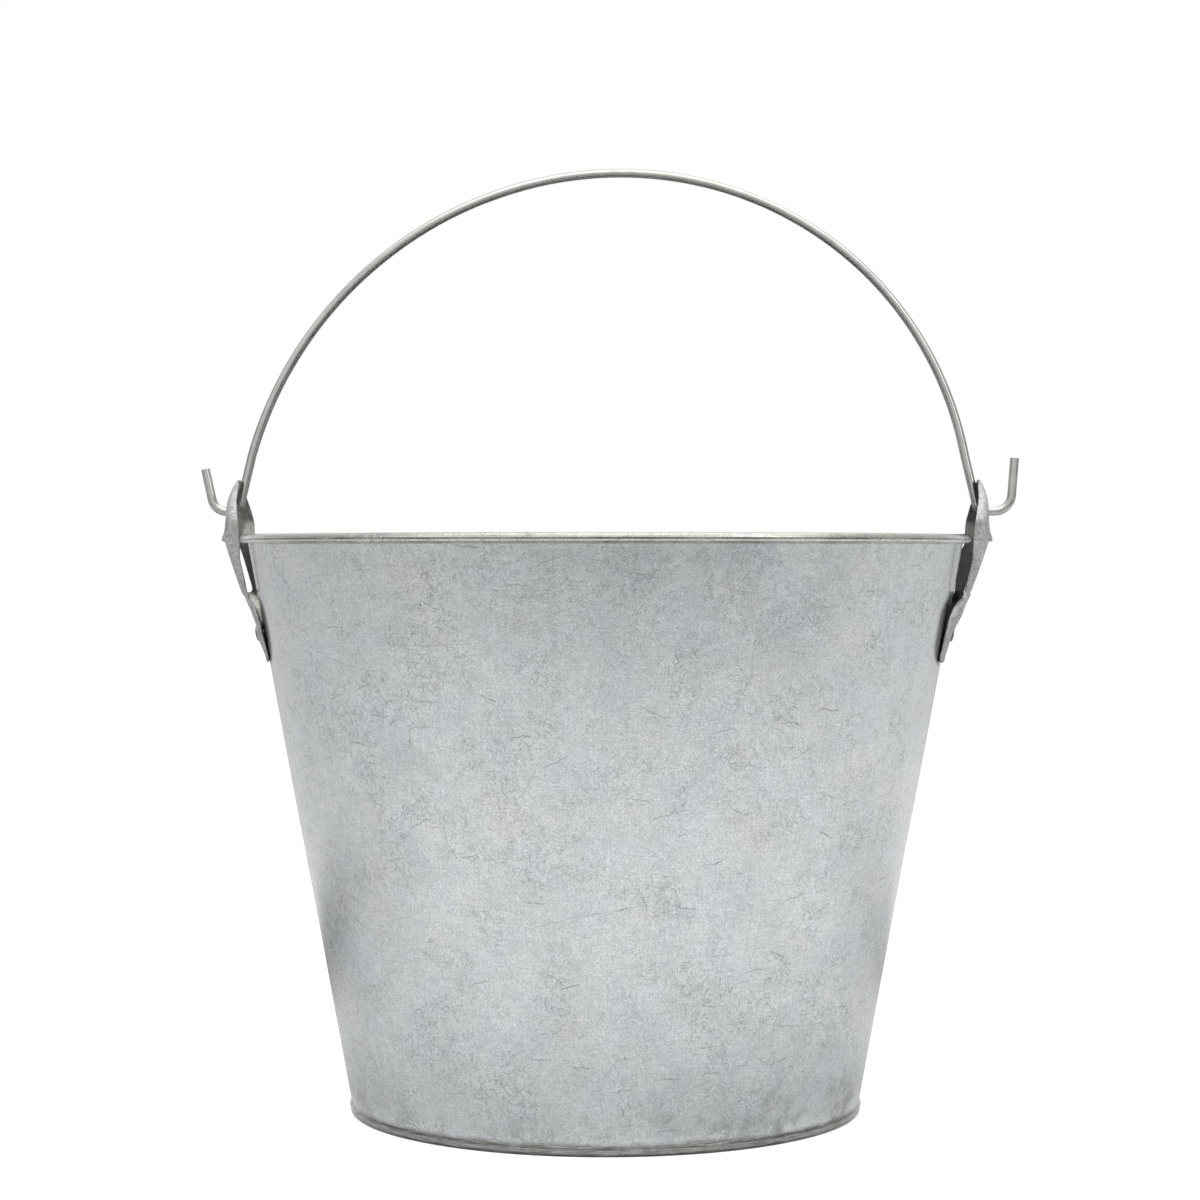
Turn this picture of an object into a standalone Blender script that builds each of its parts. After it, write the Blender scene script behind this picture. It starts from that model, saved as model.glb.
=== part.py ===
# Galvanised beverage bucket with a swinging wire bail.
# Metres, +Z up. The origin is the centre of the base on the floor, the two ears lie on
# the X axis and the front faces -Y. At rest the bail stands upright.
import math

import bmesh
import bpy
from mathutils import Matrix, Vector

# Gaps between pieces
FIT_GAP = 0.0002  # pieces that are pressed, rolled or riveted together
HINGE_GAP = 0.00035  # round the bail's wire in its ear
SWING_GAP = 0.0003  # between the swinging bail and the edges of the ears

# Wall: one sheet rolled to a cone, with a lock seam down the back
RIM_HEIGHT = 0.1467  # floor to the top of the rolled rim
RIM_RADIUS = 0.0930  # outside of the rolled rim
RIM_ROLL = 0.0023  # diameter of the rolled rim
ROLL_SWEEP = math.radians(280)  # how far the edge turns round its wire
FLOOR_RADIUS = 0.0644  # the wall's outer line, run down to the floor
WALL_SHEET = 0.0004
SEAM_WIDTH = 0.0050
SEAM_RAISE = 0.0008  # the folded seam's height off the wall
SEAM_TURN_IN = 0.0005  # bare wall between the seam and the rolled rim

# Base: a pressed pan whose flange stands up round the wall's foot
PAN_SHEET = 0.0004
PAN_FLANGE = 0.0019  # floor to the top of the flange
PAN_RING = 0.0050  # width of the flat ring that the bucket stands on
PAN_RECESS = 0.0016  # the panel's height off the floor
PAN_STEP = 0.0022  # width of the slope between ring and panel
PAN_BEND = 0.0004  # inner radius of the bend into the flange

# Ears: pressed from sheet, open towards the wall, riveted through their foot
EAR_SHEET = 0.0006
EAR_CROWN_POWER = 16  # how flat the crown is, and how sharply the sides turn in
PIVOT_RISE = 0.0059  # rim to the bail's pivot
RIVET_DROP = 0.0250  # rim to the rivet
WINDOW_TOP = 0.0018  # rim down to the lip over the window
WINDOW_BOTTOM = 0.0153  # rim down to the foot's open edge
LEG_TOP_REACH = 0.0056  # outer edge of the two legs, off the wall, at the lip
LEG_BOTTOM_REACH = 0.0036  # the same at the foot
LEG_BULGE = 0.00025  # how far the legs' outer edges bow out between the two
WINDOW_CORNER = 0.0005

# Rivets
RIVET_HEAD = 0.0042
RIVET_DOME = 0.0008
RIVET_SHANK = 0.0022
RIVET_TAIL = 0.0034
RIVET_TAIL_RISE = 0.0006

# Bail: one length of wire
BAIL_WIRE = 0.0023
BOW_HEIGHT = 0.0864  # pivot to the top of the bow, at the wire's centre
BOW_LEAN = 0.044  # the bow leans towards +X, as it was bent by hand
LEG_RISE = 0.0144  # pivot to the top of the straight legs
INNER_BEND = 0.0025  # centre line radius where a leg turns out through its ear
RIGHT_HOOK = {"start": 0.0018, "bend": 0.0044, "lean": math.radians(4.5), "rise": 0.0136}
LEFT_HOOK = {"start": 0.0008, "bend": 0.0039, "lean": math.radians(12.3), "rise": 0.0109}

# Cutters
DRILL_LENGTH = 0.0100  # long enough to pass right through the sheets

# Facets
ROUND_STEPS = 96
DRILL_STEPS = 24
RIVET_STEPS = 20
DOME_STEPS = 4
WIRE_STEPS = 8
ROLL_STEPS = 9
EAR_STEPS = 10
WINDOW_STEPS = 4
BOW_STEPS = 44
BEND_STEPS = 6

# The two sides. Both ears are the same pressing, turned half round, and the left one was
# set leaning further in: by this much at the pivot.
SIDES = {
    "right": {"turn": 0, "lean_in": 0, "hook": RIGHT_HOOK},
    "left": {"turn": math.pi, "lean_in": 0.0008, "hook": LEFT_HOOK},
}

pivot_z = RIM_HEIGHT + PIVOT_RISE
rivet_z = RIM_HEIGHT - RIVET_DROP
roll_x = RIM_RADIUS - RIM_ROLL / 2
roll_z = RIM_HEIGHT - RIM_ROLL / 2


# The wall's outer line starts on the floor and runs clear of the roll's inside, so that
# the sheet's middle is tangent to the middle of the roll.
def find_wall_angle():
    across, up = roll_x - FLOOR_RADIUS, roll_z
    inner = RIM_ROLL / 2 - WALL_SHEET
    return math.atan2(across, up) - math.asin(inner / math.hypot(across, up))


wall_angle = find_wall_angle()


def wall_radius(z):
    return FLOOR_RADIUS + z * math.tan(wall_angle)


# Sections of an ear from top to bottom: height, half width, and how far its crown and its
# free edges stand off the wall's line
foot_edge = EAR_SHEET + FIT_GAP
EAR_SECTIONS = [
    (pivot_z + 0.0082, 0.0018, 0.00145, 0.00130),
    (pivot_z + 0.0067, 0.0050, 0.00240, 0.00130),
    (pivot_z + 0.0038, 0.0086, 0.00385, 0.00190),
    (pivot_z + 0.0014, 0.0115, 0.00465, 0.00222),
    (pivot_z - 0.0016, 0.0138, 0.00535, 0.00250),
    (pivot_z - 0.0031, 0.0141, 0.00570, 0.00260),
    (RIM_HEIGHT + 0.0006, 0.0136, 0.00635, 0.00270),
    (RIM_HEIGHT - 0.0015, 0.0129, 0.00730, 0.00280),
    (RIM_HEIGHT - 0.0066, 0.0126, 0.00730, 0.00350),
    (RIM_HEIGHT - 0.0104, 0.0119, 0.00640, 0.00325),
    (RIM_HEIGHT - 0.0146, 0.0108, 0.00500, 0.00300),
    (RIM_HEIGHT - 0.0159, 0.0116, 0.00430, 0.00250),
    (RIM_HEIGHT - 0.0169, 0.0146, 0.00405, foot_edge + 0.0010),
    (RIM_HEIGHT - 0.0181, 0.0174, 0.00375, foot_edge + 0.0006),
    (rivet_z + 0.0045, 0.0186, 0.00305, foot_edge + 0.0004),
    (rivet_z + 0.0021, 0.0188, 0.00200, foot_edge + 0.0002),
    (rivet_z - 0.0021, 0.0188, 0.00145, foot_edge + 0.0001),
    (rivet_z - 0.0054, 0.0188, 0.00092, foot_edge),
    (rivet_z - 0.0065, 0.0182, 0.00088, foot_edge),
    (rivet_z - 0.0072, 0.0166, 0.00085, foot_edge),
]
HEAD_SECTIONS = 8  # the sections down to the lip, which are rounded into each other
widest_section = max(EAR_SECTIONS[:HEAD_SECTIONS], key=lambda section: section[1])  # of the head


# The listed sections, with one more on a smooth curve between each pair in the head
def ear_rows():
    rows = []
    for i, section in enumerate(EAR_SECTIONS):
        if 0 < i < HEAD_SECTIONS:
            before, above = EAR_SECTIONS[max(i - 2, 0)], EAR_SECTIONS[i - 1]
            below = EAR_SECTIONS[min(i + 1, HEAD_SECTIONS - 1)]
            near = zip(before, above, section, below)
            rows.append(tuple((9 * (b + c) - a - d) / 16 for a, b, c, d in near))
        rows.append(section)
    return rows


def lean_in(side, z):
    return side["lean_in"] * max(0, z - rivet_z) / (pivot_z - rivet_z)


def ear_surface(side, section, share):
    z, half_width, crown, edge = section
    y = half_width * share
    reach = edge + (crown - edge) * (1 - share**EAR_CROWN_POWER) - lean_in(side, z)
    return Vector((math.sqrt(wall_radius(z) ** 2 - y**2) + reach, y, z))


# Distance of an ear's crown from the bucket's axis at a height
def crown_radius(side, z):
    for upper, lower in zip(EAR_SECTIONS, EAR_SECTIONS[1:]):
        if lower[0] <= z <= upper[0]:
            share = (z - lower[0]) / (upper[0] - lower[0])
            return wall_radius(z) + lower[2] + share * (upper[2] - lower[2]) - lean_in(side, z)
    raise ValueError("height outside the ear")


def clear_scene():
    for item in list(bpy.data.objects):
        bpy.data.objects.remove(item, do_unlink=True)


def add_collection(name):
    collection = bpy.data.collections.new(name)
    bpy.context.scene.collection.children.link(collection)
    return collection


def add_object(name, data, collection, surface=None):
    item = bpy.data.objects.new(name, data)
    collection.objects.link(item)
    if surface:
        data.materials.append(surface)
    return item


def make_surface(name, colour, roughness, metallic):
    surface = bpy.data.materials.new(name)
    surface.use_nodes = True
    shader = surface.node_tree.nodes["Principled BSDF"]
    shader.inputs["Base Color"].default_value = (*colour, 1)
    shader.inputs["Roughness"].default_value = roughness
    shader.inputs["Metallic"].default_value = metallic
    return surface


# An outline in the XZ plane, turned about Z
def turned(name, outline, collection, surface=None, steps=ROUND_STEPS):
    mesh = bpy.data.meshes.new(name)
    edges = [(i, i + 1) for i in range(len(outline) - 1)]
    mesh.from_pydata([(x, 0, z) for x, z in outline], edges, [])
    item = add_object(name, mesh, collection, surface)
    screw = item.modifiers.new("Turn", "SCREW")
    screw.angle = math.tau
    screw.steps = steps
    screw.render_steps = steps
    screw.use_merge_vertices = True
    screw.merge_threshold = 0.00001
    screw.use_smooth_shade = True
    return item


def give_thickness(item, thickness, offset):
    solidify = item.modifiers.new("Sheet", "SOLIDIFY")
    solidify.thickness = thickness
    solidify.offset = offset
    solidify.use_even_offset = True


def combine(item, tool, operation):
    boolean = item.modifiers.new(tool.name, "BOOLEAN")
    boolean.operation = operation
    boolean.solver = "EXACT"
    boolean.object = tool


def hide_tool(tool):
    tool.hide_render = True
    tool.display_type = "WIRE"


def add_box(name, size, matrix, collection, corner):
    mesh = bpy.data.meshes.new(name)
    shape = bmesh.new()
    bmesh.ops.create_cube(shape, size=1, matrix=Matrix.Diagonal((*size, 1)))
    shape.to_mesh(mesh)
    shape.free()
    box = add_object(name, mesh, collection)
    box.matrix_world = matrix
    bevel = box.modifiers.new("Corner", "BEVEL")
    bevel.width = corner
    bevel.segments = 2
    hide_tool(box)
    return box


# An outline in the XZ plane, drawn out to both sides along Y
def add_prism(name, outline, half_width, matrix, collection, corner):
    mesh = bpy.data.meshes.new(name)
    shape = bmesh.new()
    near = [shape.verts.new((x, -half_width, z)) for x, z in outline]
    far = [shape.verts.new((x, half_width, z)) for x, z in outline]
    shape.faces.new(near)
    shape.faces.new(reversed(far))
    for i in range(len(outline)):
        shape.faces.new((near[i], near[i - 1], far[i - 1], far[i]))
    bmesh.ops.recalc_face_normals(shape, faces=shape.faces)
    shape.to_mesh(mesh)
    shape.free()
    prism = add_object(name, mesh, collection)
    prism.matrix_world = matrix
    bevel = prism.modifiers.new("Corner", "BEVEL")
    bevel.width = corner
    bevel.segments = 2
    bevel.limit_method = "ANGLE"
    hide_tool(prism)
    return prism


def add_rod(name, radius, length, matrix, collection):
    mesh = bpy.data.meshes.new(name)
    shape = bmesh.new()
    ends = {"radius1": radius, "radius2": radius, "depth": length}
    bmesh.ops.create_cone(shape, cap_ends=True, segments=DRILL_STEPS, **ends)
    shape.to_mesh(mesh)
    shape.free()
    rod = add_object(name, mesh, collection)
    rod.matrix_world = matrix
    hide_tool(rod)
    return rod


def arc(centre, radius, start, end, steps):
    angles = [start + (end - start) * i / steps for i in range(steps + 1)]
    return [(centre[0] + radius * math.cos(a), centre[1] + radius * math.sin(a)) for a in angles]


def side_frame(side):
    return Matrix.Rotation(side["turn"], 4, "Z")


# The rivet's axis stands square on the wall. Its origin is on the wall's outer face.
def rivet_frame(side):
    place = Matrix.Translation((wall_radius(rivet_z), 0, rivet_z))
    return side_frame(side) @ place @ Matrix.Rotation(math.pi / 2 + wall_angle, 4, "Y")


def make_wall(parts, tools, surface):
    middle = WALL_SHEET / 2 / math.cos(wall_angle)
    foot_z = PAN_SHEET + FIT_GAP
    outline = [(wall_radius(foot_z) - middle, foot_z)]
    start = math.pi - wall_angle
    roll = arc((roll_x, roll_z), (RIM_ROLL - WALL_SHEET) / 2, start, start - ROLL_SWEEP, ROLL_STEPS)
    wall = turned("bucket_wall", outline + roll, parts, surface)
    give_thickness(wall, WALL_SHEET, 0)

    seam_low = PAN_FLANGE + FIT_GAP
    seam_high = RIM_HEIGHT - RIM_ROLL - SEAM_TURN_IN
    seam_z = (seam_low + seam_high) / 2
    depth = SEAM_RAISE + WALL_SHEET / 2
    offset = depth / 2 - WALL_SHEET / 2
    place = Matrix.Translation((0, wall_radius(seam_z), seam_z)) @ Matrix.Rotation(-wall_angle, 4, "X")
    size = (SEAM_WIDTH, depth, (seam_high - seam_low) / math.cos(wall_angle))
    seam = add_box("seam", size, place @ Matrix.Translation((0, offset, 0)), tools, SEAM_RAISE / 3)
    combine(wall, seam, "UNION")

    for name, side in SIDES.items():
        hole = add_rod("wall_hole_" + name, RIVET_SHANK / 2 + FIT_GAP, DRILL_LENGTH, rivet_frame(side), tools)
        combine(wall, hole, "DIFFERENCE")
    return wall


def make_rim_wire(parts, surface):
    radius = RIM_ROLL / 2 - WALL_SHEET - FIT_GAP
    outline = arc((roll_x, roll_z), radius, math.pi / 2, math.pi / 2 - math.tau, WIRE_STEPS)
    outline[-1] = outline[0]
    return turned("rim_wire", outline, parts, surface)


def make_base_pan(parts, surface):
    half = PAN_SHEET / 2
    lean = math.tan(wall_angle)
    outer = FLOOR_RADIUS + FIT_GAP + half / math.cos(wall_angle)
    bend = PAN_BEND + half
    ring_outer = outer + bend * lean - bend
    ring_inner = ring_outer - PAN_RING
    outline = [(0, PAN_RECESS + half), (ring_inner - PAN_STEP, PAN_RECESS + half), (ring_inner, half)]
    outline += arc((ring_outer, half + bend), bend, -math.pi / 2, -wall_angle, 3)
    outline.append((outer + PAN_FLANGE * lean, PAN_FLANGE))
    pan = turned("base_pan", outline, parts, surface)
    give_thickness(pan, PAN_SHEET, 0)
    return pan


# The see-through window takes everything outside the legs' outer edges.
def window_outline(side):
    top_z, low_z = RIM_HEIGHT - WINDOW_TOP, RIM_HEIGHT - WINDOW_BOTTOM
    top_x = wall_radius(top_z) + LEG_TOP_REACH - lean_in(side, top_z)
    low_x = wall_radius(low_z) + LEG_BOTTOM_REACH - lean_in(side, low_z)
    beyond = top_x + 2 * LEG_TOP_REACH
    outline = [(beyond, low_z), (beyond, top_z)]
    for i in range(WINDOW_STEPS + 1):
        share = i / WINDOW_STEPS
        bulge = LEG_BULGE * 4 * share * (1 - share)
        outline.append((top_x + (low_x - top_x) * share + bulge, top_z + (low_z - top_z) * share))
    return outline


def make_ear(name, side, parts, tools, surface):
    mesh = bpy.data.meshes.new("ear_" + name)
    shape = bmesh.new()
    shares = [math.sin(math.pi / 2 * i / EAR_STEPS) for i in range(EAR_STEPS + 1)]
    rows = [[shape.verts.new(ear_surface(side, row, share)) for share in shares] for row in ear_rows()]
    for upper, lower in zip(rows, rows[1:]):
        for i in range(EAR_STEPS):
            shape.faces.new((upper[i], lower[i], lower[i + 1], upper[i + 1]))
    for face in shape.faces:
        face.smooth = True
    shape.to_mesh(mesh)
    shape.free()
    ear = add_object("ear_" + name, mesh, parts, surface)
    ear.matrix_world = side_frame(side)
    mirror = ear.modifiers.new("Other half", "MIRROR")
    mirror.use_axis = (False, True, False)
    mirror.merge_threshold = 0.00001
    give_thickness(ear, EAR_SHEET, -1)

    clear_width = 2 * widest_section[1]
    place = side_frame(side)
    window = add_prism("window_" + name, window_outline(side), clear_width, place, tools, WINDOW_CORNER)
    combine(ear, window, "DIFFERENCE")

    pivot = Matrix.Translation((crown_radius(side, pivot_z), 0, pivot_z))
    pivot = side_frame(side) @ pivot @ Matrix.Rotation(math.pi / 2, 4, "Y")
    bail_hole = add_rod("bail_hole_" + name, BAIL_WIRE / 2 + HINGE_GAP, DRILL_LENGTH / 2, pivot, tools)
    combine(ear, bail_hole, "DIFFERENCE")
    rivet_hole = add_rod("ear_hole_" + name, RIVET_SHANK / 2 + FIT_GAP, DRILL_LENGTH, rivet_frame(side), tools)
    combine(ear, rivet_hole, "DIFFERENCE")
    return ear


# A rivet's outline, in a frame whose Z leaves the wall: domed head over the ear's foot,
# shank through both sheets, flat tail inside the bucket
def make_rivet(name, side, parts, surface):
    head = RIVET_HEAD / 2
    dome_radius = (head**2 + RIVET_DOME**2) / (2 * RIVET_DOME)
    seat = crown_radius(side, rivet_z) - wall_radius(rivet_z) + FIT_GAP
    dome_edge = math.asin(head / dome_radius)
    dome_centre = (0, seat + RIVET_DOME - dome_radius)
    outline = arc(dome_centre, dome_radius, math.pi / 2, math.pi / 2 - dome_edge, DOME_STEPS)
    tail_top = -WALL_SHEET - FIT_GAP
    outline += [(RIVET_SHANK / 2, seat), (RIVET_SHANK / 2, tail_top), (RIVET_TAIL / 2, tail_top)]
    outline += [(RIVET_TAIL / 2 - RIVET_TAIL_RISE / 2, tail_top - RIVET_TAIL_RISE), (0, tail_top - RIVET_TAIL_RISE)]
    outline[0] = (0, outline[0][1])
    rivet = turned("rivet_" + name, outline, parts, surface, RIVET_STEPS)
    rivet.matrix_world = rivet_frame(side)
    return rivet


# The wire's centre line from an ear's pivot outwards and up to its hook's tip, as
# (distance from the bucket's axis, height over the pivot)
def hook_line(side):
    hook = side["hook"]
    start = crown_radius(side, pivot_z) + hook["start"]
    turn = math.pi / 2 - hook["lean"]
    line = arc((start, hook["bend"]), hook["bend"], -math.pi / 2, -math.pi / 2 + turn, BEND_STEPS)
    x, z = line[-1]
    line.append((x + (hook["rise"] - z) * math.tan(hook["lean"]), hook["rise"]))
    return line


# From an ear's pivot inwards and up the leg to just under the bow's foot
def leg_line(foot_x, lean):
    turn = math.pi / 2 - lean
    bend_rise = INNER_BEND * (1 - math.cos(turn))
    bend_x = foot_x + (LEG_RISE - bend_rise) * math.tan(lean)
    centre = (bend_x + INNER_BEND * math.sin(turn), INNER_BEND)
    return arc(centre, INNER_BEND, -math.pi / 2, -math.pi / 2 - turn, BEND_STEPS)


# The legs pass inside the free edges of the ears as the bail swings.
def foot_radius(side):
    return ear_surface(side, widest_section, 1).x - EAR_SHEET / 2 - SWING_GAP - BAIL_WIRE / 2


def make_bail(parts, surface):
    right_x, left_x = foot_radius(SIDES["right"]), -foot_radius(SIDES["left"])
    middle, half = (right_x + left_x) / 2, (right_x - left_x) / 2
    centre_z = (BOW_HEIGHT**2 - half**2 - LEG_RISE**2) / (2 * (BOW_HEIGHT - LEG_RISE))
    radius = BOW_HEIGHT - centre_z
    lean = math.asin((LEG_RISE - centre_z) / radius)
    bow = arc((middle, centre_z), radius, lean, math.pi - lean, BOW_STEPS)
    bow = [(x + BOW_LEAN * (z - LEG_RISE), z) for x, z in bow]

    right = list(reversed(hook_line(SIDES["right"]))) + leg_line(right_x, lean)
    left = list(reversed(leg_line(-left_x, lean))) + hook_line(SIDES["left"])
    points = right + bow + [(-x, z) for x, z in left]
    curve = bpy.data.curves.new("bail", "CURVE")
    curve.dimensions = "3D"
    curve.bevel_depth = BAIL_WIRE / 2
    curve.bevel_resolution = 3
    curve.use_fill_caps = True
    spline = curve.splines.new("POLY")
    spline.points.add(len(points) - 1)
    for point, (x, z) in zip(spline.points, points):
        point.co = (x, 0, z, 1)
    spline.use_smooth = True
    bail = add_object("bail", curve, parts, surface)
    bail.location = (0, 0, pivot_z)
    return bail


def main():
    clear_scene()
    parts = add_collection("beverage_bucket")
    tools = add_collection("cutters")
    make_wall(parts, tools, make_surface("galvanised_wall", (0.54, 0.56, 0.57), 0.42, 0.85))
    make_rim_wire(parts, make_surface("rim_wire_zinc", (0.50, 0.51, 0.51), 0.40, 0.9))
    make_base_pan(parts, make_surface("galvanised_pan", (0.52, 0.54, 0.55), 0.42, 0.85))
    for name, side in SIDES.items():
        make_ear(name, side, parts, tools, make_surface("galvanised_ear_" + name, (0.50, 0.52, 0.52), 0.45, 0.85))
        make_rivet(name, side, parts, make_surface("plated_rivet_" + name, (0.46, 0.46, 0.45), 0.35, 0.9))
    make_bail(parts, make_surface("galvanised_wire", (0.42, 0.42, 0.40), 0.30, 0.95))


main()
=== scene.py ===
# Galvanised drinks bucket with a swinging wire bail: its finished pieces, studio and camera.
# Metres, +Z up, ears on the X axis, front towards -Y, the same frame as the CAD.
import functools
import math

import bmesh
import bpy
from mathutils import Matrix, Vector


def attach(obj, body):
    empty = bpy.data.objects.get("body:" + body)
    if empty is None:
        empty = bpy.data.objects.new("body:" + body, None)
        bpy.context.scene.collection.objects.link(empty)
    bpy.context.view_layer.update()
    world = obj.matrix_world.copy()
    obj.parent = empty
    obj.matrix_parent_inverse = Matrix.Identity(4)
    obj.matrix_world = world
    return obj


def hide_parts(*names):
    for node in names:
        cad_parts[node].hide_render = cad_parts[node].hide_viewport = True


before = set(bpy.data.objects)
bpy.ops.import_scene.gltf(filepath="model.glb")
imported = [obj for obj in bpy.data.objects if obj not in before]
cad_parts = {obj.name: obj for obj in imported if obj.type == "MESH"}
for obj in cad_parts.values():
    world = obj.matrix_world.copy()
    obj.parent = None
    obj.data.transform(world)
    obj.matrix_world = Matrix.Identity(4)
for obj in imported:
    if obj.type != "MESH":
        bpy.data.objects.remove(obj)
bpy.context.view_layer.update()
print("frame loaded:", sorted(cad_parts))


# Helpers for modelling


def startPiece():
    if bpy.context.mode != "OBJECT":
        bpy.ops.object.mode_set(mode="OBJECT")
    bpy.ops.object.select_all(action="DESELECT")


def selectPiece(piece):
    startPiece()
    bpy.context.view_layer.objects.active = piece
    piece.select_set(True)


def editPiece(piece):
    selectPiece(piece)
    bpy.ops.object.mode_set(mode="EDIT")


def endEdit():
    bpy.ops.object.mode_set(mode="OBJECT")


# Selects the vertices, edges or faces that pass a test of their place or normal
def pick(piece, kind, test):
    bpy.ops.mesh.select_mode(type=kind)
    bpy.ops.mesh.select_all(action="DESELECT")
    shape = bmesh.from_edit_mesh(piece.data)
    items = {"VERT": shape.verts, "EDGE": shape.edges, "FACE": shape.faces}[kind]
    for item in items:
        if test(item):
            item.select_set(True)
    shape.select_flush_mode()
    bmesh.update_edit_mesh(piece.data)


def applyModifier(piece, kind, **settings):
    modifier = piece.modifiers.new(kind.title(), kind)
    for name, value in settings.items():
        setattr(modifier, name, value)
    selectPiece(piece)
    bpy.ops.object.modifier_apply(modifier=modifier.name)


# Moves the surface in and out a little, as handling and hand work leave it
def makeUneven(piece, name, size, depth, middle, layers=2, **settings):
    clouds = bpy.data.textures.new(name, "CLOUDS")
    clouds.noise_scale = size
    clouds.noise_depth = layers
    applyModifier(piece, "DISPLACE", texture=clouds, strength=depth, mid_level=middle, **settings)


def joinTo(piece, part):
    selectPiece(piece)
    part.select_set(True)
    bpy.ops.object.join()


def settle(piece, name, smoothAngle=40):
    selectPiece(piece)
    bpy.ops.object.transform_apply()
    bpy.ops.object.shade_smooth_by_angle(angle=math.radians(smoothAngle))
    piece.name = name
    piece.data.name = name


def giveFinish(piece, material):
    piece.data.materials.clear()
    piece.data.materials.append(material)


def arcPoints(centre, radius, start, end, steps):
    angles = [start + (end - start) * i / steps for i in range(steps + 1)]
    return [(centre[0] + radius * math.cos(a), centre[1] + radius * math.sin(a)) for a in angles]


# A round shell: one ring of points is extruded and resized along a profile of (radius, height)
def makeShell(profile, steps):
    startPiece()
    radius, height = profile[0]
    bpy.ops.mesh.primitive_circle_add(vertices=steps, radius=radius, location=(0, 0, height))
    bpy.ops.object.mode_set(mode="EDIT")
    bpy.ops.mesh.select_mode(type="VERT")
    bpy.ops.mesh.select_all(action="SELECT")
    for nextRadius, nextHeight in profile[1:]:
        rise = {"value": (0, 0, nextHeight - height)}
        bpy.ops.mesh.extrude_region_move(TRANSFORM_OT_translate=rise)
        share = nextRadius / radius
        bpy.ops.transform.resize(value=(share, share, 1), center_override=(0, 0, nextHeight))
        radius, height = nextRadius, nextHeight
    return bpy.context.object


# Ends the first edit of a piece, with its faces turned outwards
def closeEdit():
    bpy.ops.mesh.select_all(action="SELECT")
    bpy.ops.mesh.normals_make_consistent(inside=False)
    endEdit()
    bpy.ops.object.transform_apply(location=True, rotation=False, scale=False)


# Helpers for the finishes

smooth = {"interpolation_type": "SMOOTHSTEP"}  # eases a Map Range in and out


def hexColour(code):
    values = [int(code[i : i + 2], 16) / 255 for i in (1, 3, 5)]
    return [v / 12.92 if v <= 0.04045 else ((v + 0.055) / 1.055) ** 2.4 for v in values] + [1]


# Inputs are named, or listed in the node's own order. A node that is given as a value stands for
# the first of its outputs that is in use.
def setInputs(node, inputs):
    pairs = inputs.items() if isinstance(inputs, dict) else enumerate(inputs)
    for name, value in pairs:
        if isinstance(value, bpy.types.Node):
            value = [output for output in value.outputs if output.enabled][0]
        if isinstance(value, bpy.types.NodeSocket):
            node.id_data.links.new(value, node.inputs[name])
        else:
            node.inputs[name].default_value = value


# Adds a node with its inputs and settings. A kind of Math is followed by its operation.
def addNode(tree, kind, inputs=(), **settings):
    kind, *operations = kind.split()
    node = tree.nodes.new("ShaderNode" + kind)
    for operation in operations:
        node.operation = operation
    for name, value in settings.items():
        setattr(node, name, value)
    setInputs(node, inputs)
    return node


def newMaterial(name):
    material = bpy.data.materials.new(name)
    material.use_nodes = True
    tree = material.node_tree
    add = functools.partial(addNode, tree)
    return material, add, tree.nodes["Principled BSDF"], add("TexCoord").outputs["Object"]


# The turn round the bucket from the front, positive to the right, in radians
def addTurn(add, x, y):
    front = add("Math MULTIPLY", [y, -1])
    return add("Math ARCTAN2", [x, front])


# A soft line or band round a level. The edges are two distances from it and their two shares.
def addBand(add, value, level, edges):
    away = add("Math SUBTRACT", [value, level])
    far = add("Math ABSOLUTE", [away])
    return add("MapRange", [far, *edges], **smooth)


# Short bent strokes, one in each cell of a random grid: fine hairs, nicks or long scratches.
# "turn" is how far a stroke may turn from the first axis, and "bow" how far its middle stands out.
def addStrokes(add, place, cell, length, width, turn, bow, seed, share):
    offset = add("VectorMath ADD", [place, (seed * 0.371, seed * 0.813, 0)])
    cells = add("TexVoronoi", {"Vector": offset, "Scale": 1 / cell}, voronoi_dimensions="2D")
    luck = add("SeparateColor", [cells.outputs["Color"]])
    away = add("VectorMath SUBTRACT", [offset, cells.outputs["Position"]])
    angle = add("MapRange", [luck.outputs["Red"], 0, 1, -turn, turn])
    turned = add("VectorRotate", {"Vector": away, "Angle": angle}, rotation_type="Z_AXIS")
    parts = add("SeparateXYZ", [turned])
    square = add("Math MULTIPLY", [parts.outputs["X"], parts.outputs["X"]])
    mostBend = 4 * bow / length**2
    bend = add("MapRange", [luck.outputs["Green"], 0, 1, -mostBend, mostBend])
    line = add("Math MULTIPLY_ADD", [square, bend, parts.outputs["Y"]])
    far = add("Math ABSOLUTE", [line])
    thin = add("MapRange", [far, width * 0.2, width, 1, 0], **smooth)
    reach = add("Math ABSOLUTE", [parts.outputs["X"]])
    ends = add("MapRange", [reach, length * 0.2, length * 0.5, 1, 0], **smooth)
    kept = add("MapRange", [luck.outputs["Blue"], 1 - share, 1 - share * 0.6])
    body = add("Math MULTIPLY", [thin, ends])
    return add("Math MULTIPLY", [body, kept])


# A share for each named range of heights
def addHeights(add, height, finish):
    return {name: add("MapRange", [height, *edges], **smooth) for name, edges in finish["heights"].items()}


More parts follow.
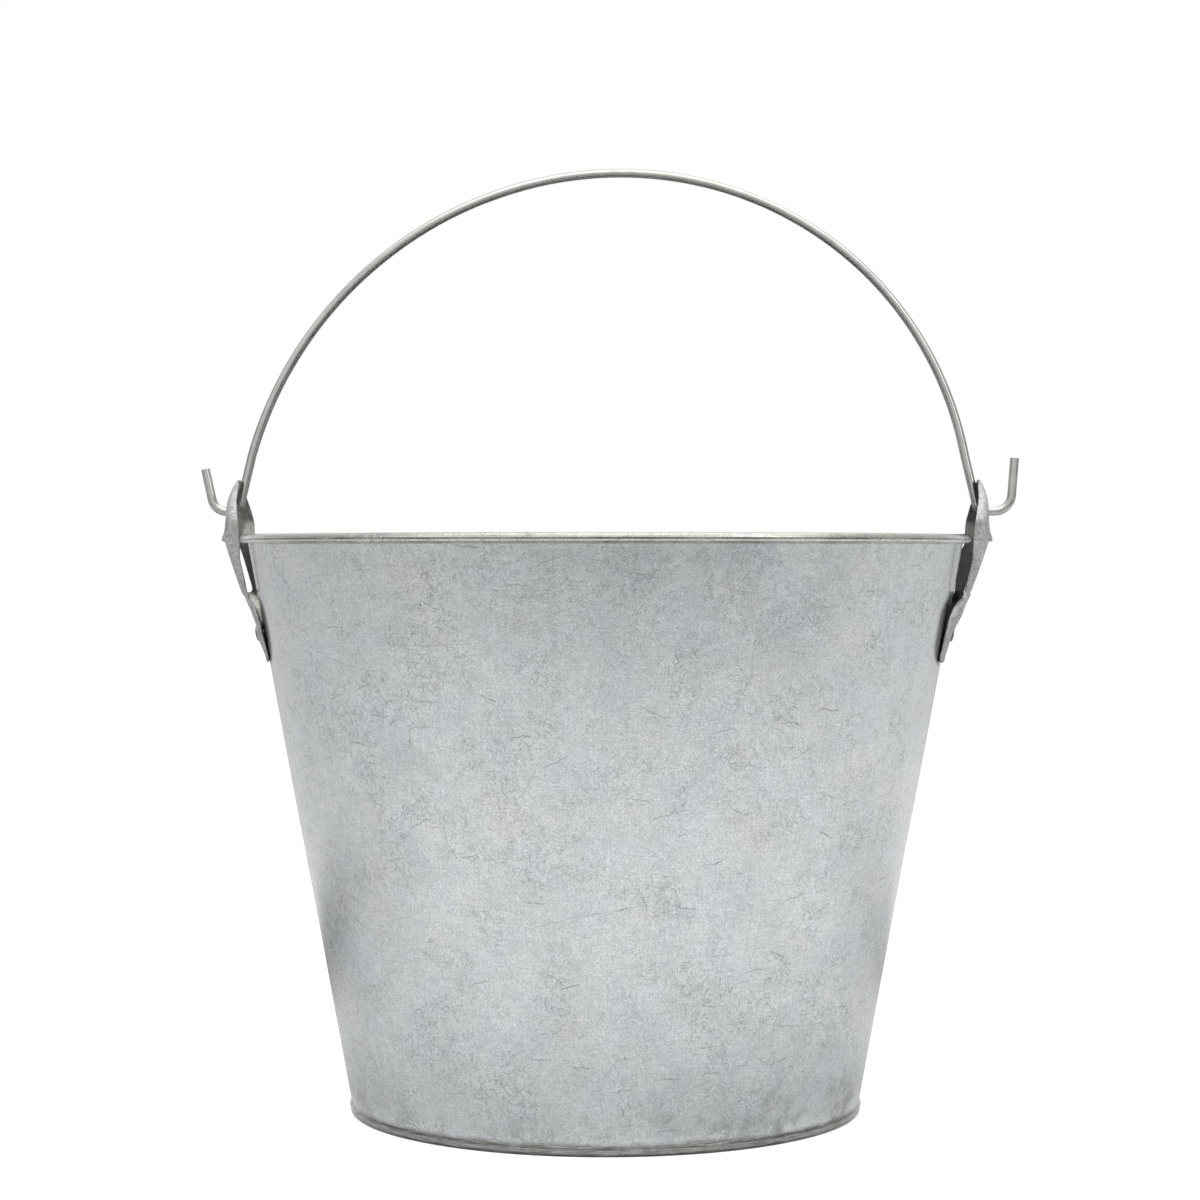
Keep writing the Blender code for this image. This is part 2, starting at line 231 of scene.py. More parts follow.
# What both zinc finishes have: clouds, crystals with feathered edges, and fine grain
def addCrystals(add, place, finish):
    noise = {}
    for name, values in finish["noises"].items():
        kind = "4D" if "W" in values else "3D"
        noise[name] = add("TexNoise", {"Vector": place, **values}, noise_dimensions=kind)
    warp = [noise["warp"].outputs["Color"], [finish["spangleSize"] * finish["spangleWarp"]] * 3, place]
    shift = add("VectorMath MULTIPLY_ADD", warp)
    spangle = add("TexVoronoi", {"Vector": shift, "Scale": 1 / finish["spangleSize"]})
    crystal = add("SeparateColor", [spangle.outputs["Color"]])
    height = add("Math MULTIPLY_ADD", [crystal.outputs["Blue"], finish["spangleRelief"], noise["grain"]])
    bump = add("Bump", {**finish["bump"], "Height": height})
    return noise, crystal, bump


# Hot-dip galvanised sheet. The molten zinc freezes in small crystals, which shows as a fine
# grey mottle, and handling leaves thin bent hairs of darker oxide and a few long scuffs.
# A range is two readings and the two values that they are turned to, 0 and 1 if none are given.
sheetFinish = {
    "cool": "#d3dadf",
    "warm": "#dbdddb",
    "fleck": "#6f7576",
    "stain": "#7f7b72",
    # The next colour is painted shade in the crease under the rolled rim
    "creaseShade": "#5a5a56",
    # The next colour is painted shade and painted reflection: the dark lines at the base and round the rim
    "edge": "#383733",
    # The next colour is painted shade: the shadow and dark reflection of each ear's foot on the wall
    # beside it
    "footShade": "#24241f",
    "beadTint": "#fffaec",
    "roughness": (0, 1, 0.23, 0.35),
    "markRoughness": 0.2,
    "coat": 0.8,
    "coatRoughness": 0.06,
    "bump": {"Strength": 0.8, "Distance": 0.00006},
    "meanRadius": 0.08,
    # Mottle and hue of 14 mm, crystals of 1 to 3 mm and grain of 0.4 mm. Other scales are cells a metre.
    "spangleSize": 0.0019,
    "spangleWarp": 1.6,
    "spangleRelief": 0.4,
    "noises": {
        "mottle": {"Scale": 1 / 0.014, "Detail": 4, "Roughness": 0.6},
        "hue": {"W": 3.1, "Scale": 1.2 / 0.014, "Detail": 5, "Roughness": 0.6},
        "cluster": {"W": 1.9, "Scale": 1.3 / 0.014, "Detail": 3, "Roughness": 0.65},
        "warp": {"Scale": 900, "Detail": 3, "Roughness": 0.65},
        "grain": {"Scale": 1 / 0.00042, "Detail": 3, "Roughness": 0.75},
        "wisp": {"W": 5.3, "Scale": 700, "Detail": 3, "Roughness": 0.6, "Distortion": 1.2},
        "wispCut": {"W": 7.7, "Scale": 420, "Detail": 2},
        "wave": {"Scale": 90, "Detail": 3},
        "patch": {"W": 4.4, "Scale": 55, "Detail": 6, "Roughness": 0.7},
    },
    # Cells a metre round and up the sheet
    "drawnNoises": {
        "across": ((1700, 160, 1), {"Detail": 1}),
        "around": ((140, 1900, 1), {"Detail": 1}),
        "streak": ((150, 3200, 1), {"Detail": 3, "Roughness": 0.6}),
    },
    "wander": {"Scale": 500, "Detail": 2},
    "wanderReach": 0.0011,
    # Cell, length, width, turn, bow, seed and share of the cells
    "strokes": {
        "tiny": (0.0013, 0.0018, 0.00011, math.pi, 0.0004, 5, 0.9),
        "fine": (0.0022, 0.0030, 0.00012, math.pi, 0.0005, 1, 0.8),
        "medium": (0.0052, 0.0055, 0.00013, math.pi, 0.0009, 2, 0.3),
        "level": (0.0120, 0.0080, 0.00016, 0.5, 0.0006, 3, 0.5),
        "scratch": (0.0420, 0.0380, 0.00016, 0.35, 0.0030, 4, 0.6),
    },
    "clusterRange": (0.42, 0.64, 0.25, 1),
    "wispMiddle": 0.5,
    "wispEdges": (0.0, 0.035, 1, 0),
    "wispRange": (0.46, 0.60),
    "scratchShare": 0.5,
    "markShare": 0.68,
    "hueRange": (0.30, 0.70),
    "mottleRange": (0.3, 0.7, 0.94, 1.06),
    "crystalRange": (0, 1, 0.965, 1.035),
    "grainRange": (0.3, 0.7, 0.76, 1.27),
    "weaveRange": (0.6, 1.4, 0.94, 1.06),
    # Ranges of the height above the floor
    "heights": {
        "flange": (0.0016, 0.0021, 0.95, 1),
        "foot": (0.0004, 0.0011, 0.9, 0),
        "patch": (0.004, 0.017, 1, 0),
        "creaseLow": (0.14395, 0.14435),
        "creaseHigh": (0.14465, 0.14485, 1, 0),
        "bead": (0.1438, 0.1446, 0, 0.85),
        "darkerTop": (0.1456, 0.1461, 1, 0.62),
    },
    "stainWave": -0.0022,
    "stainEdges": (0.0012, 0.0026, 1, 0),
    "stainRange": (0.35, 0.65, 0.4, 1),
    "crevice": 0.0022,
    "creviceEdges": (0.00010, 0.00035, 0.75, 0),
    "lineRange": (0.3, 0.7, 0.7, 1),
    "patchRange": (0.44, 0.64, 0, 0.55),
    "patchTurn": 0.95,
    "patchEdges": (0.2, 0.65, 1.7, 0.8),
    "creaseRange": (0.35, 0.65, 0.3, 0.7),
    "beadLine": 0.14535,
    "beadEdges": (0.00008, 0.00036, 1, 0),
    "beadRange": (0.35, 0.65, 0.45, 0.85),
    # Where the painted shade beside each ear's foot lies: its middle height, half height, rounding and
    # turns from the ear
    "footShadeMiddle": 0.1228,
    "footShadeHalf": 0.0084,
    "footShadePower": 4.0,
    "footShadeRounding": math.radians(5),
    "footShadeTurns": (math.radians(16.5), math.radians(19.7), 0.94, 0),
    "footTurns": (math.radians(9.5), math.radians(12)),
}


def makeGalvanisedSheet():
    material, add, shader, place = newMaterial("galvanised sheet")
    finish = sheetFinish
    x, y, height = add("SeparateXYZ", [place]).outputs
    noise, crystal, bump = addCrystals(add, place, finish)
    at = addHeights(add, height, finish)

    # Round and up the sheet, in metres. The cut is at the seam.
    turn = addTurn(add, x, y)
    along = add("Math MULTIPLY", [turn, finish["meanRadius"]])
    flat = add("CombineXYZ", [along, height])
    for name, (scale, values) in finish["drawnNoises"].items():
        drawn = add("Mapping", {"Vector": flat, "Scale": scale})
        noise[name] = add("TexNoise", {"Vector": drawn, "Scale": 1, **values}, noise_dimensions="2D")

    # Wisps: the thin bent edges of a noise
    wispDark = addBand(add, noise["wisp"], finish["wispMiddle"], finish["wispEdges"])
    wispKeep = add("MapRange", [noise["wispCut"], *finish["wispRange"]], **smooth)
    wisps = add("Math MULTIPLY", [wispDark, wispKeep])

    # Hairs 2 to 5 mm long, warped a little so that none is a clean arc, and long faint scratches
    wander = add("TexNoise", {"Vector": flat, **finish["wander"]}, noise_dimensions="2D")
    reach = (finish["wanderReach"], finish["wanderReach"], 0)
    bent = add("VectorMath MULTIPLY_ADD", [wander.outputs["Color"], reach, flat])
    strokes = {}
    for name, values in finish["strokes"].items():
        strokes[name] = addStrokes(add, flat if name == "scratch" else bent, *values)
    marks = strokes["fine"]
    for more in (strokes["tiny"], strokes["medium"], wisps):
        marks = add("Math MAXIMUM", [marks, more])
    clusters = add("MapRange", [noise["cluster"], *finish["clusterRange"]], **smooth)
    marks = add("Math MULTIPLY", [marks, clusters])
    marks = add("Math MAXIMUM", [marks, strokes["level"]])
    faint = add("Math MULTIPLY", [strokes["scratch"], finish["scratchShare"]])
    marks = add("Math MAXIMUM", [marks, faint])

    # Tone: each layer multiplies the colour by a little more or less than one. The weave is the
    # faint cloth-like lines that the skin-pass rolls leave, about 0.6 mm apart.
    weave = add("Math ADD", [noise["across"], noise["around"]])
    hue = add("MapRange", [noise["hue"], *finish["hueRange"]])
    colours = {0: hue, 6: hexColour(finish["cool"]), 7: hexColour(finish["warm"])}
    tint = add("Mix", colours, data_type="RGBA")
    mottleTone = add("MapRange", [noise["mottle"], *finish["mottleRange"]])
    crystalTone = add("MapRange", [crystal.outputs["Red"], *finish["crystalRange"]])
    grainTone = add("MapRange", [noise["grain"], *finish["grainRange"]], clamp=False)
    weaveTone = add("MapRange", [weave, *finish["weaveRange"]])
    broad = add("Math MULTIPLY", [mottleTone, crystalTone])
    fine = add("Math MULTIPLY", [grainTone, weaveTone])
    tone = add("Math MULTIPLY", [broad, fine])
    toned = add("VectorMath SCALE", {0: tint, "Scale": tone})
    markShare = add("Math MULTIPLY", [marks, finish["markShare"]])

    # Flux left a thin dull band, streaked round the bucket, over the base's solder
    wavy = add("Math MULTIPLY_ADD", [noise["wave"], finish["stainWave"], height])
    lowBand = add("MapRange", [wavy, *finish["stainEdges"]], **smooth)
    streaky = add("MapRange", [noise["streak"], *finish["stainRange"]])
    stainBand = add("Math MULTIPLY", [lowBand, at["flange"]])
    stain = add("Math MULTIPLY", [stainBand, streaky])

    # Brown patches of dirt on the lowest part of the wall, most of all at one side
    patches = add("MapRange", [noise["patch"], *finish["patchRange"]], **smooth)
    patchSide = addBand(add, turn, finish["patchTurn"], finish["patchEdges"])
    patchHere = add("Math MULTIPLY", [at["patch"], patchSide])
    patchAll = add("Math MULTIPLY", [patches, patchHere], use_clamp=True)

    # Painted shade: dark lines in the crevice over the base's flange and along the edge it stands on
    crevice = addBand(add, height, finish["crevice"], finish["creviceEdges"])
    bothBaseShadeLines = add("Math MAXIMUM", [crevice, at["foot"]])
    linePart = add("MapRange", [noise["streak"], *finish["lineRange"]])
    baseShadeLines = add("Math MULTIPLY", [bothBaseShadeLines, linePart])

    # Painted shade: a dark line in the crease under the rolled rim, where the roll shades the wall
    creaseBand = add("Math MULTIPLY", [at["creaseLow"], at["creaseHigh"]])
    creasePart = add("MapRange", [noise["wave"], *finish["creaseRange"]])
    creaseShade = add("Math MULTIPLY", [creaseBand, creasePart])

    # Each of these lies over the one before
    colour = toned
    layers = (markShare, "fleck"), (stain, "stain"), (patchAll, "stain"), (baseShadeLines, "edge"), (creaseShade, "creaseShade")
    for share, name in layers:
        colour = add("Mix", {0: share, 6: colour, 7: hexColour(finish[name])}, data_type="RGBA")

    # Handling has left the rolled rim a little warmer than the sheet
    beadTone = add("VectorMath MULTIPLY", [colour, hexColour(finish["beadTint"])[:3]])
    colour = add("Mix", {0: at["bead"], 6: colour, 7: beadTone}, data_type="RGBA")

    # Painted shade and reflection: the wall beside each ear's foot is coloured nearly black, standing for
    # the foot's shadow and its dark reflection in the wall
    sideways = add("Math ABSOLUTE", [x])
    fromEar = add("Math ARCTAN2", [y, sideways])
    fromEarFar = add("Math ABSOLUTE", [fromEar])
    middle = add("Math SUBTRACT", [height, finish["footShadeMiddle"]])
    middleShare = add("Math DIVIDE", [middle, finish["footShadeHalf"]])
    middleFar = add("Math ABSOLUTE", [middleShare])
    rounded = add("Math POWER", [middleFar, finish["footShadePower"]])
    outline = add("Math MULTIPLY_ADD", [rounded, finish["footShadeRounding"], fromEarFar])
    footShadeEdge = add("MapRange", [outline, *finish["footShadeTurns"]], **smooth)
    behindFoot = add("MapRange", [fromEarFar, *finish["footTurns"]], **smooth)
    footShade = add("Math MULTIPLY", [footShadeEdge, behindFoot])
    normal = add("NewGeometry").outputs["True Normal"]
    radial = add("VectorMath MULTIPLY", [place, (1, 1, 0)])
    facing = add("VectorMath DOT_PRODUCT", [radial, normal])
    facingOut = add("Math GREATER_THAN", [facing, 0])
    footShadeOut = add("Math MULTIPLY", [footShade, facingOut])

    # Painted reflection: a fine dark line round the rolled rim where it reaches furthest out. The colour
    # is also darker over the rim's top.
    beadThin = addBand(add, height, finish["beadLine"], finish["beadEdges"])
    beadPart = add("MapRange", [noise["wave"], *finish["beadRange"]])
    beadOut = add("Math MULTIPLY", [beadThin, facingOut])
    beadLine = add("Math MULTIPLY", [beadOut, beadPart])
    for share, name in ((footShadeOut, "footShade"), (beadLine, "edge")):
        colour = add("Mix", {0: share, 6: colour, 7: hexColour(finish[name])}, data_type="RGBA")
    topDarkened = add("VectorMath SCALE", {0: colour, "Scale": at["darkerTop"]})

    # The thin glassy passivation coat mirrors the room at a grazing view, and is left off under the
    # painted shade beside each ear's foot
    coat = add("MapRange", [footShadeOut, 0, 1, finish["coat"], 0])
    rough = add("MapRange", [crystal.outputs["Green"], *finish["roughness"]])
    roughMarked = add("Math MULTIPLY_ADD", [marks, finish["markRoughness"], rough])
    setInputs(shader, {
        "Base Color": topDarkened,
        "Metallic": 1.0,
        "Roughness": roughMarked,
        "Normal": bump,
        "Coat Weight": coat,
        "Coat Roughness": finish["coatRoughness"],
    })
    return material


# Pressed ears, dipped after pressing. The zinc is duller and speckled, and the hollow side is painted
# dark, as shade inside the channel. Noises of 5 mm, crystals of 0.9 mm and grain of 0.3 mm.
earFinish = {
    "light": "#c3c6c6",
    "cool": "#adb2b3",
    "warm": "#bcb9b1",
    "fleck": "#6c6f6c",
    # The next two colours are painted shade on the hollow side of the ears
    "inside": "#6d706b",
    "insideHigh": "#a5a89f",
    # The next colour is a painted highlight inside the left foot
    "insideGlint": "#fffaf0",
    "roughness": (0.3, 0.7, 0.52, 0.66),
    "glintRoughness": 0.2,
    "bump": {"Strength": 0.5, "Distance": 0.00005},
    "spangleSize": 0.0009,
    "spangleWarp": 1.5,
    "spangleRelief": 0.4,
    "noises": {
        "mottle": {"Scale": 1 / 0.005, "Detail": 4, "Roughness": 0.6},
        "hue": {"W": 3.1, "Scale": 0.7 / 0.005, "Detail": 4, "Roughness": 0.6},
        "warp": {"Scale": 1500, "Detail": 3, "Roughness": 0.65},
        "grain": {"Scale": 1 / 0.00032, "Detail": 3, "Roughness": 0.75},
    },
    "crystalRange": (0, 1, 0.86, 1.12),
    "grainRange": (0.3, 0.7, 0.72, 1.24),
    "fleckRange": (0.35, 0.46, 0.85, 0),
    "heights": {
        "aboveRim": (0.1435, 0.1475),
        "glintLow": (0.1225, 0.1250),
        "glintHigh": (0.1312, 0.1320, 1, 0),
    },
}


def makePressedZinc():
    material, add, shader, place = newMaterial("galvanised pressing")
    finish = earFinish
    spot = add("SeparateXYZ", [place]).outputs
    noise, crystal, bump = addCrystals(add, place, finish)
    at = addHeights(add, spot["Z"], finish)
    speck = add("MapRange", [noise["grain"], *finish["fleckRange"]], **smooth)
    colours = {0: noise["hue"], 6: hexColour(finish["cool"]), 7: hexColour(finish["warm"])}
    tint = add("Mix", colours, data_type="RGBA")
    lighter = {0: noise["mottle"], 6: tint, 7: hexColour(finish["light"])}
    tintSoft = add("Mix", lighter, data_type="RGBA")
    crystalTone = add("MapRange", [crystal.outputs["Red"], *finish["crystalRange"]])
    grainTone = add("MapRange", [noise["grain"], *finish["grainRange"]], clamp=False)
    tone = add("Math MULTIPLY", [crystalTone, grainTone])
    toned = add("VectorMath SCALE", {0: tintSoft, "Scale": tone})
    specks = {0: speck, 6: toned, 7: hexColour(finish["fleck"])}
    specked = add("Mix", specks, data_type="RGBA")

    # Painted shade on the hollow side, made paler above the rim in the left ear
    hollow = add("Attribute", attribute_name="hollowSide").outputs["Fac"]
    onLeft = add("Math LESS_THAN", [spot["X"], 0])
    pale = add("Math MULTIPLY", [at["aboveRim"], onLeft])
    hollowShades = {0: pale, 6: hexColour(finish["inside"]), 7: hexColour(finish["insideHigh"])}
    hollowShade = add("Mix", hollowShades, data_type="RGBA")
    hollowShadeToned = add("VectorMath SCALE", {0: hollowShade, "Scale": tone})
    inside = add("Mix", {0: hollow, 6: specked, 7: hollowShadeToned}, data_type="RGBA")

    # Painted highlight: inside the left foot the hollow side is coloured bright and warm and made
    # smoother, standing for the light that reaches it there
    glintBand = add("Math MULTIPLY", [at["glintLow"], at["glintHigh"]])
    glintLeft = add("Math MULTIPLY", [glintBand, onLeft])
    glint = add("Math MULTIPLY", [glintLeft, hollow])
    glints = {0: glint, 6: inside, 7: hexColour(finish["insideGlint"])}
    rough = add("MapRange", [noise["mottle"], *finish["roughness"]])
    roughs = {0: glint, 2: rough, 3: finish["glintRoughness"]}
    setInputs(shader, {
        "Base Color": add("Mix", glints, data_type="RGBA"),
        "Metallic": 1.0,
        "Roughness": add("Mix", roughs, data_type="FLOAT"),
        "Normal": bump,
    })
    return material


# Drawn wire with a thin bright zinc coat, a little clouded by handling
wireFinish = {
    "light": "#bfc0bb",
    "dark": "#aeafa9",
    "cloud": {"Scale": 260, "Detail": 5, "Roughness": 0.65},
    "speck": {"Scale": 1900, "Detail": 2},
    "speckShare": 0.12,
    "range": (0.36, 0.76),
    "roughness": (0.3, 0.7, 0.14, 0.3),
    "bump": {"Strength": 0.05, "Distance": 0.00001},
}

# Zinc-plated steel rivets, rubbed dark in spots
rivetFinish = {
    "light": "#b9b9b2",
    "dark": "#6e6d66",
    "cloud": {"Scale": 700, "Detail": 4, "Roughness": 0.6},
    "range": (0.35, 0.6),
    "roughness": (0, 1, 0.36, 0.51),
    "bump": {"Strength": 0.4, "Distance": 0.00004},
}


def makeCloudedZinc(name, finish):
    material, add, shader, place = newMaterial(name)
    cloud = add("TexNoise", {"Vector": place, **finish["cloud"]})
    both = cloud
    if "speck" in finish:
        speck = add("TexNoise", {"Vector": place, **finish["speck"]})
        both = add("Math MULTIPLY_ADD", [speck, finish["speckShare"], cloud])
    soft = add("MapRange", [both, *finish["range"]])
    colours = {0: soft, 6: hexColour(finish["dark"]), 7: hexColour(finish["light"])}
    setInputs(shader, {
        "Base Color": add("Mix", colours, data_type="RGBA"),
        "Metallic": 1.0,
        "Roughness": add("MapRange", [cloud, *finish["roughness"]]),
        "Normal": add("Bump", {**finish["bump"], "Height": cloud}),
    })
    return material


galvanisedSheet = makeGalvanisedSheet()
pressedZinc = makePressedZinc()
zincWire = makeCloudedZinc("galvanised wire", wireFinish)
rivetPlating = makeCloudedZinc("zinc plated rivet", rivetFinish)
print("finishes ready")


# Wall

bucketWall = {
    "rimRadius": 0.0930,
    "rimHeight": 0.1467,
    "rollWidth": 0.0023,
    "rollSweep": math.radians(280),
    "floorRadius": 0.0644,
    "footHeight": 0.0006,
    "sheet": 0.0004,
    "roundSteps": 256,
    "wallRows": 34,
    "rollSteps": 24,
    "dentSize": 0.045,
    "dentDepth": 0.00035,
    "dentFade": 6,
    "seamWidth": 0.0050,
    "seamRaise": 0.0008,
    "seamLow": 0.0021,
    "seamHigh": 0.1439,
    "seamHem": 0.0007,
    "seamCrease": (0.0001, -0.00012),
    "seamEdge": 0.0002,
}

rollX = bucketWall["rimRadius"] - bucketWall["rollWidth"] / 2
rollZ = bucketWall["rimHeight"] - bucketWall["rollWidth"] / 2
rollInside = bucketWall["rollWidth"] / 2 - bucketWall["sheet"]
lineAcross = rollX - bucketWall["floorRadius"]
wallAngle = math.atan2(lineAcross, rollZ) - math.asin(rollInside / math.hypot(lineAcross, rollZ))


def wallRadius(height):
    return bucketWall["floorRadius"] + height * math.tan(wallAngle)


def makeBucketWall():
    sheet = bucketWall["sheet"]
    middle = sheet / 2 / math.cos(wallAngle)
    rollRadius = (bucketWall["rollWidth"] - sheet) / 2
    start = math.pi - wallAngle
    end = start - bucketWall["rollSweep"]
    roll = arcPoints((rollX, rollZ), rollRadius, start, end, bucketWall["rollSteps"])
    low, high = bucketWall["footHeight"], roll[0][1]
    rows = bucketWall["wallRows"]
    heights = [low + (high - low) * i / rows for i in range(rows)]
    wall = makeShell([(wallRadius(z) - middle, z) for z in heights] + roll, bucketWall["roundSteps"])
    closeEdit()

    # Slight dents of handling, which fade out towards the stiff rim and base
    soft = wall.vertex_groups.new(name="soft sheet")
    for point in wall.data.vertices:
        share = (point.co.z - low) / (high - low)
        fade = min(1, bucketWall["dentFade"] * share, bucketWall["dentFade"] * (1 - share))
        soft.add([point.index], max(0, fade), "REPLACE")
    size, depth = bucketWall["dentSize"], bucketWall["dentDepth"]
    makeUneven(wall, "dents", size, depth, 0.5, layers=1, vertex_group=soft.name)
    applyModifier(wall, "SOLIDIFY", thickness=sheet, offset=0, use_even_offset=True)

    # The lock seam down the back: a flat folded band with rounded edges
    seamLow, seamHigh = bucketWall["seamLow"], bucketWall["seamHigh"]
    seamMiddle = (seamLow + seamHigh) / 2
    depth = bucketWall["seamRaise"] + sheet / 2
    startPiece()
    bpy.ops.mesh.primitive_cube_add(size=1)
    seam = bpy.context.object
    seam.scale = (bucketWall["seamWidth"], depth, (seamHigh - seamLow) / math.cos(wallAngle))
    seam.rotation_euler = (-wallAngle, 0, 0)
    away = wallRadius(seamMiddle) + bucketWall["seamRaise"] / 2 - sheet / 4
    seam.location = (0, away, seamMiddle)
    bpy.ops.object.transform_apply()
    editPiece(seam)
    pick(seam, "FACE", lambda face: face.normal.y > 0.9)
    bpy.ops.mesh.inset(thickness=bucketWall["seamHem"], depth=0)
    creaseWidth, creaseDepth = bucketWall["seamCrease"]
    bpy.ops.mesh.inset(thickness=creaseWidth, depth=creaseDepth)
    pick(seam, "EDGE", lambda edge: edge.calc_length() > 0.05)
    bpy.ops.mesh.bevel(offset=bucketWall["seamEdge"], segments=3)
    endEdit()
    joinTo(wall, seam)
    settle(wall, "bucketWall")
    giveFinish(wall, galvanisedSheet)
    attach(wall, "bucket")
    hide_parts("bucket_wall")


makeBucketWall()
print("wall rolled, seamed and beaded")


# Base

basePan = {
    "sheet": 0.0004,
    "fitGap": 0.0002,
    "flange": 0.0019,
    "ringWidth": 0.0050,
    "ringEase": (0.0004, 0.0002),
    "recess": 0.0016,
    "slope": 0.0022,
    "panelEase": (0.0003, 0.0003),
    "easeRise": 0.0001,
    "panelRings": (0.04, 0.02, 0.002),
    "bend": 0.0004,
    "bendSteps": 5,
    "solderWidth": 0.0006,
    "solderStretch": 1.5,
    "solderOff": 0.0001,
    "solderUneven": 0.0004,
    "solderGrain": 0.004,
    "solderMiddle": 0.55,
    "roundSteps": 256,
}


def makeBasePan():
    half = basePan["sheet"] / 2
    lean = math.tan(wallAngle)
    outer = bucketWall["floorRadius"] + basePan["fitGap"] + half / math.cos(wallAngle)
    bend = basePan["bend"] + half
    ringOuter = outer + bend * lean - bend
    ringInner = ringOuter - basePan["ringWidth"]
    panelHeight = basePan["recess"] + half
    slopeIn = ringInner - basePan["slope"]
    rise = basePan["easeRise"]
    before, after = basePan["ringEase"]
    profile = [(outer + basePan["flange"] * lean, basePan["flange"])]
    profile += arcPoints((ringOuter, half + bend), bend, -wallAngle, -math.pi / 2, basePan["bendSteps"])
    profile += [(ringInner + before, half), (ringInner - after, half + rise)]
    before, after = basePan["panelEase"]
    profile += [(slopeIn + before, panelHeight - rise), (slopeIn - after, panelHeight)]
    profile += [(radius, panelHeight) for radius in basePan["panelRings"]]
    pan = makeShell(profile, basePan["roundSteps"])
    bpy.ops.mesh.edge_face_add()
    closeEdit()
    applyModifier(pan, "SOLIDIFY", thickness=basePan["sheet"], offset=0, use_even_offset=True)

    # The solder that fills the angle over the flange, drawn out unevenly by the iron
    startPiece()
    solderHeight = basePan["flange"] + basePan["solderOff"]
    bpy.ops.mesh.primitive_torus_add(
        location=(0, 0, solderHeight), major_segments=basePan["roundSteps"], minor_segments=10,
        major_radius=wallRadius(solderHeight) + basePan["solderOff"],
        minor_radius=basePan["solderWidth"] / 2)
    solder = bpy.context.object
    editPiece(solder)
    stretch = (1, 1, basePan["solderStretch"])
    bpy.ops.transform.resize(value=stretch, center_override=(0, 0, solderHeight))
    endEdit()
    grain, depth = basePan["solderGrain"], basePan["solderUneven"]
    makeUneven(solder, "solder", grain, depth, basePan["solderMiddle"])
    joinTo(pan, solder)
    settle(pan, "basePan")
    giveFinish(pan, galvanisedSheet)
    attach(pan, "bucket")
    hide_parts("base_pan")


makeBasePan()
print("base pressed and soldered")


# Ears

# A list of pairs is drops below the rim and how far a part of the ear stands off there
ear = {
    "hingeOverRim": 0.0059,
    "rivetUnderRim": 0.0250,
    "sheet": 0.0006,
    "crownPower": 16,
    "halfSteps": 14,
    "rowsBetween": 3,
    "leanIn": {"right": 0, "left": 0.0008},
    "windowTop": 0.0018,
    "windowBottom": {"right": 0.0153, "left": 0.0159},
    "windowRounding": 0.0003,
    "legTopReach": 0.0056,
    "legBottomReach": 0.0036,
    "punch": (0.02, 0.06),
    # Width of each hole and length of its punch
    "pivotHole": (0.0030, 0.008),
    "rivetHole": (0.0026, 0.01),
    "holeSteps": 32,
    "fineness": 0.00019,
    "rounding": 2,
    "channelMiddle": 0.001,
    "thinEdge": 0.0009,
    "edgeAllowance": 0.00015,
    "farFlange": [(0.0030, 0), (0.0046, 0.0013), (0.0150, 0.0007), (0.0175, 0)],
    "farLegFurther": 0.0005,
    "leftFootOff": [(0.0120, 0), (0.0150, 0.0002), (0.0200, 0.0004), (0.0250, 0.0002), (0.0280, 0)],
    "crownOff": {
        "right": [
            (0.0140, 0), (0.0150, -0.0001), (0.0178, -0.0002), (0.0200, 0.0001), (0.0222, 0.0003),
            (0.0238, 0.0002), (0.0250, -0.0001), (0.0280, 0)],
        "left": [
            (0.0140, 0), (0.0155, -0.0006), (0.0195, -0.0008), (0.0225, -0.0002), (0.0245, 0.0004),
            (0.0275, 0.0003), (0.0312, 0)]},
}

pivotHeight = bucketWall["rimHeight"] + ear["hingeOverRim"]
rivetHeight = bucketWall["rimHeight"] - ear["rivetUnderRim"]

# Rise over the hinge line or over the rivet, half width, and how far the crown and the free edges
# stand off the wall's line
fromHinge = [
    (0.0082, 0.0018, 0.00145, 0.00130),
    (0.0067, 0.0050, 0.00240, 0.00130),
    (0.0038, 0.0086, 0.00385, 0.00190),
    (0.0014, 0.0115, 0.00465, 0.00222),
    (-0.0016, 0.0138, 0.00535, 0.00250),
    (-0.0031, 0.0141, 0.00570, 0.00260),
    (-0.0053, 0.0136, 0.00635, 0.00270),
    (-0.0074, 0.0129, 0.00730, 0.00280),
    (-0.0125, 0.0126, 0.00730, 0.00350),
    (-0.0163, 0.0119, 0.00640, 0.00325),
    (-0.0205, 0.0108, 0.00500, 0.00300),
    (-0.0218, 0.0116, 0.00430, 0.00250),
    (-0.0228, 0.0146, 0.00405, 0.00180),
    (-0.0240, 0.0174, 0.00375, 0.00140),
]
fromRivet = [
    (0.0045, 0.0192, 0.00305, 0.00110),
    (0.0021, 0.0194, 0.00200, 0.00090),
    (-0.0021, 0.0194, 0.00140, 0.00085),
    (-0.0054, 0.0194, 0.00092, 0.00080),
    (-0.0065, 0.0186, 0.00088, 0.00080),
    (-0.0072, 0.0168, 0.00085, 0.00080),
]
earSections = [(pivotHeight + rise, *rest) for rise, *rest in fromHinge]
earSections += [(rivetHeight + rise, *rest) for rise, *rest in fromRivet]
headSections = 8


